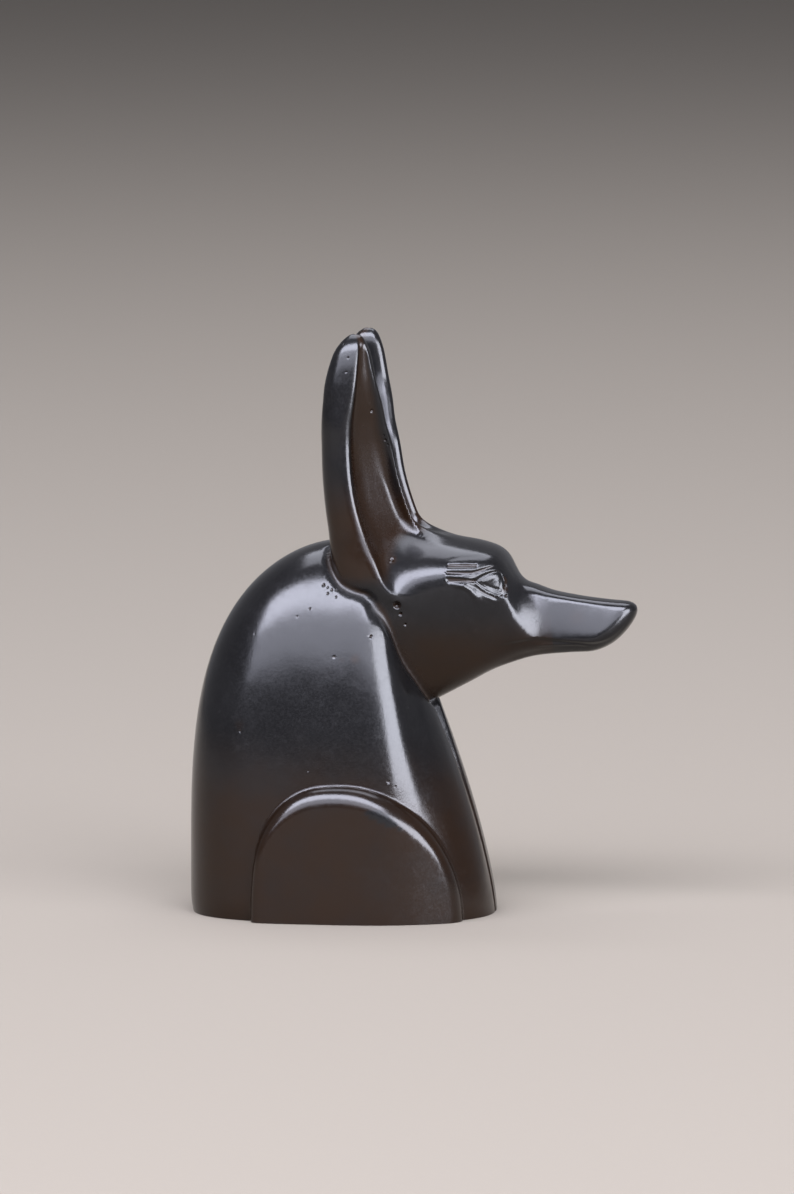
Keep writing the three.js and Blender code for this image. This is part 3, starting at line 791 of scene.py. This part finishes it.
@dataclass
class CarvedBust:
    """The bust's fine mesh, cut from its solid.

    Attributes:
        stone: The stone's forms.
        node: The solid that it stands for.
        voxel: The first mesh's cell.
        below: How far the foot is drawn down before it is cut off flat.
        rounds: How many times the carved places are divided again.
        piece: The finished mesh's object, once it is built.
    """

    stone: Stone = field(default_factory=Stone)
    node: str = "jackal_bust"
    voxel: float = 0.74
    below: float = 2.5
    rounds: int = 2
    piece: bpy.types.Object | None = None

    def copy_solid(self) -> bpy.types.Object:
        """Copies the solid's mesh and merges its loose triangles.

        Returns:
            The new piece.
        """
        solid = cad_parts[self.node]
        piece = bpy.data.objects.new("carved_bust", solid.data.copy())
        bpy.context.scene.collection.objects.link(piece)
        piece.data.materials.clear()
        select_only(piece)
        bpy.ops.object.mode_set(mode="EDIT")
        bpy.ops.mesh.select_all(action="SELECT")
        bpy.ops.mesh.remove_doubles(threshold=0.002 * MM)
        bpy.ops.object.mode_set(mode="OBJECT")
        return piece

    def draw_foot_down(self, piece: bpy.types.Object) -> None:
        """Extrudes the underside downwards, so that it can be cut off flat again."""
        mesh = piece.data
        heights = face_array(mesh, "center", 3)[:, 2]
        self.select_faces(piece, heights < 0.01 * MM)
        bpy.ops.object.mode_set(mode="EDIT")
        move = {"value": (0, 0, -self.below * MM)}
        bpy.ops.mesh.extrude_region_move(TRANSFORM_OT_translate=move)
        bpy.ops.object.mode_set(mode="OBJECT")

    @staticmethod
    def select_faces(piece: bpy.types.Object, chosen: Array) -> None:
        """Selects a piece's faces by a true or false for each, and nothing else of it."""
        mesh = piece.data
        mesh.vertices.foreach_set("select", np.zeros(len(mesh.vertices), dtype=bool))
        mesh.edges.foreach_set("select", np.zeros(len(mesh.edges), dtype=bool))
        mesh.polygons.foreach_set("select", np.asarray(chosen, dtype=bool))

    def put(self, piece: bpy.types.Object, points: Array) -> None:
        """Writes corners back to a piece, given in millimetres."""
        piece.data.vertices.foreach_set("co", (points * MM).ravel())
        piece.data.update()

    def remesh(self, piece: bpy.types.Object) -> None:
        """Covers the solid with even quads and settles them onto the stone's surface."""
        modifier = piece.modifiers.new("even_quads", "REMESH")
        modifier.mode = "VOXEL"
        modifier.voxel_size = self.voxel * MM
        bpy.ops.object.modifier_apply(modifier=modifier.name)
        self.put(piece, self.stone.settle(corner_array(piece.data), 5, self.voxel / 3))

    def divide_carving(self, piece: bpy.types.Object) -> None:
        """Divides the faces that are too long for the carving that crosses them."""
        for turn in range(self.rounds):
            centers = face_array(piece.data, "center", 3) / MM
            lengths = np.sqrt(face_array(piece.data, "area", 1)[:, 0]) / MM
            wanted = self.stone.wanted_edge(centers)
            self.select_faces(piece, lengths > wanted)
            bpy.ops.object.mode_set(mode="EDIT")
            bpy.ops.mesh.subdivide(number_cuts=1, ngon=False, quadcorner="INNERVERT")
            bpy.ops.object.mode_set(mode="OBJECT")
            stride = self.voxel / (4 + 4 * turn)
            self.put(piece, self.stone.settle(corner_array(piece.data), 3, stride))

    def cut_foot(self, piece: bpy.types.Object) -> None:
        """Cuts the foot off flat at the table."""
        bpy.ops.object.mode_set(mode="EDIT")
        bpy.ops.mesh.select_all(action="SELECT")
        bpy.ops.mesh.bisect(plane_co=(0, 0, 0), plane_no=(0, 0, 1), use_fill=True, clear_inner=True,
                            threshold=0.0001 * MM)
        bpy.ops.object.mode_set(mode="OBJECT")

    def shade(self, piece: bpy.types.Object) -> None:
        """Shades the stone smooth, with a crisp edge round its foot."""
        mesh = piece.data
        mesh.polygons.foreach_set("use_smooth", np.ones(len(mesh.polygons), dtype=bool))
        heights = corner_array(mesh)[:, 2]
        ends = np.empty(len(mesh.edges) * 2, dtype=int)
        mesh.edges.foreach_get("vertices", ends)
        flat = heights[ends.reshape(-1, 2)].max(axis=1) < 0.001
        sharp = mesh.attributes.new("sharp_edge", "BOOLEAN", "EDGE")
        sharp.data.foreach_set("value", flat)

    def turn_shading(self, piece: bpy.types.Object) -> None:
        """Shades each corner by the stone's own slope, and the underside flat."""
        mesh = piece.data
        points = corner_array(mesh)
        slope = self.stone.slope(points, self.stone.field(points))
        normals = slope / np.linalg.norm(slope, axis=1, keepdims=True)
        corners = np.empty(len(mesh.loops), dtype=int)
        mesh.loops.foreach_get("vertex_index", corners)
        by_loop = normals[corners]
        sizes = face_array(mesh, "loop_total", 1)[:, 0].astype(int)
        under = np.repeat(face_array(mesh, "center", 3)[:, 2] < 0.001 * MM, sizes)
        by_loop[under] = (0, 0, -1)
        mesh.normals_split_custom_set(by_loop)

    def note_surface(self, piece: bpy.types.Object) -> None:
        """Stores the wax with its painted crease shade, the patina with its painted warm reflection, and
        the scuffing at each corner, for the finish to read.
        """
        points = corner_array(piece.data)
        wear = self.stone.wear
        notes = {"wax_and_shade": self.stone.recess(points), "patina_and_reflection": self.stone.patina_and_reflection(points),
                 "unpolished": self.stone.unpolished(points),
                 "scuffing": wear.patches(wear.scuffs, *points.T)}
        for name, values in notes.items():
            layer = piece.data.attributes.new(name, "FLOAT", "POINT")
            layer.data.foreach_set("value", values)

    def build(self) -> bpy.types.Object:
        """Builds the bust's mesh.

        Returns:
            The finished piece, with no material yet.
        """
        piece = self.copy_solid()
        self.draw_foot_down(piece)
        self.remesh(piece)
        self.divide_carving(piece)
        self.cut_foot(piece)
        self.shade(piece)
        self.turn_shading(piece)
        self.note_surface(piece)
        self.piece = piece
        return piece

    def dress(self, finish: "PolishedStone") -> None:
        """Gives the bust its finish and its place in the frame.

        Args:
            finish: The stone's finish.
        """
        self.piece.data.materials.append(finish.material())
        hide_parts(self.node)
        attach(self.piece, "root")


# Finishes

@dataclass
class Shade:
    """A node socket that takes part in plain arithmetic.

    Attributes:
        sheet: The sheet that the socket's node lies on.
        socket: The socket.
    """

    sheet: "NodeSheet"
    socket: bpy.types.NodeSocket

    def _math(self, operation: str, *others: "Shade | float") -> "Shade":
        """Adds a Math node that starts with this socket."""
        return self.sheet.add("ShaderNodeMath", {"operation": operation}, (self, *others))

    def __add__(self, other: "Shade | float") -> "Shade":
        """Adds."""
        return self._math("ADD", other)

    __radd__ = __add__

    def __mul__(self, other: "Shade | float") -> "Shade":
        """Multiplies."""
        return self._math("MULTIPLY", other)

    __rmul__ = __mul__

    def __rsub__(self, other: float) -> "Shade":
        """Subtracts this from a number."""
        return self.sheet.add("ShaderNodeMath", {"operation": "SUBTRACT"}, (other, self))

    def clamped(self, low: float, high: float) -> "Shade":
        """Maps low to 0 and high to 1, smoothly, and holds the ends."""
        settings = {"interpolation_type": "SMOOTHSTEP"}
        inputs = {"Value": self, "From Min": low, "From Max": high}
        return self.sheet.add("ShaderNodeMapRange", settings, inputs)


@dataclass
class NodeSheet:
    """A material's node tree, built from Python.

    Attributes:
        name: The material's name.
    """

    name: str
    material: bpy.types.Material = field(init=False)

    def __post_init__(self) -> None:
        """Makes the material and clears its nodes."""
        self.material = bpy.data.materials.new(self.name)
        self.material.use_nodes = True
        self.material.node_tree.nodes.clear()

    def add(self, kind: str, settings: dict | None = None,
            inputs: "dict[str, object] | Sequence[object]" = (), out: int | str = 0) -> Shade:
        """Adds one node.

        Args:
            kind: The node's type.
            settings: The node's own settings, set first.
            inputs: Values or links for its sockets, by name or in order.
            out: The output socket that is wanted.

        Returns:
            That output, ready for arithmetic.
        """
        node = self.material.node_tree.nodes.new(kind)
        for key, value in (settings or {}).items():
            setattr(node, key, value)
        pairs = inputs.items() if isinstance(inputs, dict) else enumerate(inputs)
        for key, value in pairs:
            if isinstance(value, Shade):
                self.material.node_tree.links.new(value.socket, node.inputs[key])
            else:
                node.inputs[key].default_value = value
        return Shade(self, node.outputs[out])

    def place(self) -> Shade:
        """Gives the point in the object's own space."""
        return self.add("ShaderNodeTexCoord", out="Object")

    def note(self, name: str) -> Shade:
        """Gives a value that is stored at the mesh's corners."""
        return self.add("ShaderNodeAttribute", {"attribute_name": name}, out="Fac")

    def noise(self, scale: float, detail: float = 4, roughness: float = 0.55,
              stretch: Sequence[float] = (1, 1, 1)) -> Shade:
        """Gives cloudy noise.

        Args:
            scale: Clouds to a metre, roughly.
            detail: How many finer layers are added.
            roughness: How strong the finer layers are.
            stretch: The pattern's scale along each axis.

        Returns:
            A value about 0.5.
        """
        mapped = self.add("ShaderNodeMapping", inputs={"Vector": self.place(), "Scale": stretch})
        inputs = {"Vector": mapped, "Scale": scale, "Detail": detail, "Roughness": roughness}
        return self.add("ShaderNodeTexNoise", inputs=inputs)

    def blend(self, share: Shade, low: object, high: object) -> Shade:
        """Mixes two colours.

        Args:
            share: 0 for the first colour, 1 for the second.
            low: The first colour, a value or a link.
            high: The second colour.

        Returns:
            The mixed colour.
        """
        node = self.material.node_tree.nodes.new("ShaderNodeMix")
        node.data_type = "RGBA"
        links = self.material.node_tree.links
        links.new(share.socket, node.inputs["Factor"])
        for socket, value in ((node.inputs[6], low), (node.inputs[7], high)):
            if isinstance(value, Shade):
                links.new(value.socket, socket)
            else:
                socket.default_value = (*value, 1)
        return Shade(self, node.outputs[2])

    def finish(self, inputs: dict[str, object]) -> bpy.types.Material:
        """Closes the sheet with a Principled shader.

        Args:
            inputs: Values or links for the shader's sockets.

        Returns:
            The material.
        """
        shader = self.add("ShaderNodeBsdfPrincipled", inputs=inputs)
        tree = self.material.node_tree
        output = tree.nodes.new("ShaderNodeOutputMaterial")
        tree.links.new(shader.socket, output.inputs["Surface"])
        return self.material


@dataclass(frozen=True)
class PolishedStone:
    """Near-black stone, polished and waxed, with brown wax and painted shade in the recesses and creases,
    and brown patina that is partly painted warm reflection low on the bust.
    """

    black: tuple[float, float, float] = (0.0026, 0.0025, 0.0027)
    grey: tuple[float, float, float] = (0.006, 0.0058, 0.0059)
    # brown patina, partly painted warm reflection low on the bust
    brown_patina_and_reflection: tuple[float, float, float] = (0.0068, 0.0028, 0.0009)
    # brown wax in the recesses, which also paints shade into the creases
    wax_and_shade: tuple[float, float, float] = (0.006, 0.0026, 0.001)
    gloss: float = 0.17
    dull: float = 0.46
    specular: float = 0.34
    relief_strength: float = 0.3
    relief_height: float = 0.0003

    def material(self) -> bpy.types.Material:
        """Builds the finish.

        Returns:
            The material.
        """
        sheet = NodeSheet("polished_black_stone")
        clouds = sheet.noise(90, detail=5, roughness=0.6).clamped(0.35, 0.7)
        grain = sheet.noise(2200, detail=3, roughness=0.6).clamped(0.4, 0.66)
        wax_and_shade, patina_and_reflection = sheet.note("wax_and_shade"), sheet.note("patina_and_reflection")
        scuffing, matte = sheet.note("scuffing"), sheet.note("unpolished")
        # patchy brown wax, which also lays painted shade into the creases
        patchy_wax_and_shade = (wax_and_shade * (0.55 + 0.7 * sheet.noise(420, detail=4))).clamped(0.2, 0.85)
        # brown patina, with painted warm reflection near the foot
        browned_and_reflected = (patina_and_reflection * (0.5 + 0.9 * sheet.noise(150, detail=5))).clamped(0.1, 0.95)
        body = sheet.blend(0.55 * clouds + 0.25 * grain, self.black, self.grey)
        colour = sheet.blend(patchy_wax_and_shade, sheet.blend(browned_and_reflected, body, self.brown_patina_and_reflection), self.wax_and_shade)
        haze = sheet.noise(420, detail=6, roughness=0.7).clamped(0.5, 0.74)
        pitted = scuffing * sheet.noise(3000, detail=3, roughness=0.65).clamped(0.45, 0.66)
        dulling = (self.dull - self.gloss) * (1 - (1 - 0.4 * patchy_wax_and_shade) * (1 - matte * (0.6 + 0.4 * clouds)))
        roughness = self.gloss + 0.07 * haze + 0.04 * grain + 0.1 * pitted + dulling
        hair = sheet.noise(1100, detail=2, roughness=0.5, stretch=(1, 1, 0.05)).clamped(0.6, 0.74)
        ripple = sheet.noise(120, detail=2, roughness=0.45)
        streaks = sheet.noise(260, detail=2, roughness=0.5, stretch=(1, 1, 0.1))
        relief = 0.9 * ripple + 0.22 * streaks + 0.04 * hair + 0.02 * grain + 0.07 * pitted
        inputs = {"Strength": self.relief_strength, "Distance": self.relief_height, "Height": relief}
        normal = sheet.add("ShaderNodeBump", inputs=inputs)
        return sheet.finish({"Base Color": colour, "Roughness": roughness, "Normal": normal,
                             "Specular IOR Level": self.specular})


@dataclass(frozen=True)
class PalePaper:
    """A plain pale studio sheet with a faint tooth."""

    colour: tuple[float, float, float] = (0.15, 0.13, 0.1)
    tooth_shade: float = 0.97
    roughness: float = 0.9

    def material(self) -> bpy.types.Material:
        """Builds the finish.

        Returns:
            The material.
        """
        sheet = NodeSheet("pale_paper")
        tooth = sheet.noise(700, detail=4)
        shaded = tuple(self.tooth_shade * channel for channel in self.colour)
        normal = sheet.add("ShaderNodeBump", inputs={"Strength": 0.1, "Distance": 0.0002, "Height": tooth})
        colour = sheet.blend(tooth, self.colour, shaded)
        return sheet.finish({"Base Color": colour, "Roughness": self.roughness, "Normal": normal})


# The studio

@dataclass(frozen=True)
class Lamp:
    """A soft square light, placed by direction and aimed at the bust."""

    name: str
    azimuth: float
    elevation: float
    distance: float
    size: tuple[float, float]
    power: float
    colour: tuple[float, float, float]

    def place(self, aim: Sequence[float]) -> None:
        """Adds the light.

        Args:
            aim: The point that it faces.
        """
        bpy.ops.object.light_add(type="AREA")
        lamp = bpy.context.object
        lamp.name = self.name
        lamp.data.shape = "RECTANGLE"
        lamp.data.size, lamp.data.size_y = self.size
        lamp.data.energy = self.power
        lamp.data.color = self.colour
        back = viewing_direction(self.azimuth, self.elevation)
        lamp.location = np.array(aim) + self.distance * back
        lamp.rotation_euler = (math.radians(90 - self.elevation), 0, math.radians(self.azimuth))


def viewing_direction(azimuth: float, elevation: float) -> Array:
    """Gives the direction towards a viewer, in degrees from the side view and above the table."""
    turn, rise = math.radians(azimuth), math.radians(elevation)
    return np.array((math.sin(turn) * math.cos(rise), -math.cos(turn) * math.cos(rise), math.sin(rise)))


@dataclass(frozen=True)
class Viewpoint:
    """The camera that matches the photograph's view.

    Attributes:
        azimuth: Degrees round from the side view.
        elevation: Degrees above the table.
        distance: From the bust's origin, in metres.
        scale: Millimetres to a pixel at that distance.
        image: The picture's width and height, in pixels.
        origin_at: Where the bust's origin falls in the picture, in pixels.
        sensor: The sensor's width, in millimetres.
        seen_depth: How near and how far the camera sees, in metres.
    """

    azimuth: float = 9.0
    elevation: float = 6.3
    distance: float = 1.6
    scale: float = 0.188
    image: tuple[int, int] = (794, 1194)
    origin_at: tuple[int, int] = (345, 908)
    sensor: float = 36.0
    seen_depth: Place = (0.05, 50)

    def place(self) -> None:
        """Adds the camera and makes it the scene's own."""
        bpy.ops.object.camera_add()
        camera = bpy.context.object
        camera.name = "viewpoint"
        lens = camera.data
        lens.sensor_fit = "HORIZONTAL"
        lens.sensor_width = self.sensor
        lens.lens = self.sensor * self.distance / (self.scale * MM) / self.image[0]
        lens.clip_start, lens.clip_end = self.seen_depth
        back = viewing_direction(self.azimuth, self.elevation)
        turn = math.radians(self.azimuth)
        right = np.array((math.cos(turn), math.sin(turn), 0.0))
        up = np.cross(back, right)
        across = (self.image[0] / 2 - self.origin_at[0]) * self.scale * MM
        above = (self.origin_at[1] - self.image[1] / 2) * self.scale * MM
        camera.location = back * self.distance + right * across + up * above
        camera.rotation_euler = (math.radians(90 - self.elevation), 0, turn)
        bpy.context.scene.camera = camera
        bpy.context.scene.view_settings.view_transform = "Standard"


@dataclass(frozen=True)
class Studio:
    """A pale floor, soft lights and the camera."""

    floor_size: float = 12.0
    aim: tuple[float, float, float] = (0.01, 0.0, 0.055)
    sky: tuple[float, float, float] = (0.5, 0.5, 0.54)
    sky_strength: float = 0.5
    lamps: tuple[Lamp, ...] = (
        Lamp("high_soft", -8, 46, 2.4, (3.7, 0.95), 255, (0.82, 0.84, 1.0)),
        Lamp("middle_soft", -8, 25.5, 2.4, (3.7, 0.85), 68, (0.82, 0.84, 1.0)),
        Lamp("low_soft", 52, 12, 2.4, (1.5, 1.1), 112, (0.86, 0.88, 1.0)),
        Lamp("overhead", 180, 74, 2.4, (2.2, 1.8), 74, (0.86, 0.88, 1.0)),
    )

    def floor(self) -> None:
        """Adds the floor that the bust stands on."""
        bpy.ops.mesh.primitive_plane_add(size=self.floor_size)
        floor = bpy.context.object
        floor.name = "studio_floor"
        floor.data.materials.append(PalePaper().material())

    def surroundings(self) -> None:
        """Gives the studio an even pale surrounding light."""
        world = bpy.data.worlds.new("studio_air")
        world.use_nodes = True
        air = world.node_tree.nodes["Background"]
        air.inputs["Color"].default_value = (*self.sky, 1)
        air.inputs["Strength"].default_value = self.sky_strength
        bpy.context.scene.world = world

    def build(self) -> None:
        """Sets the whole studio up."""
        self.floor()
        self.surroundings()
        for lamp in self.lamps:
            lamp.place(self.aim)
        Viewpoint().place()


def main() -> None:
    """Builds the bust and the studio."""
    logging.basicConfig(level=logging.INFO, format="%(name)s: %(message)s")
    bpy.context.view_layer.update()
    bpy.ops.object.select_all(action="DESELECT")
    bust = CarvedBust()
    piece = bust.build()
    bust.dress(PolishedStone())
    LOG.info("%s: %d faces", piece.name, len(piece.data.polygons))
    Studio().build()
    LOG.info("studio: floor, %d lamps and the camera", len(Studio().lamps))


if __name__ == "__main__":
    main()
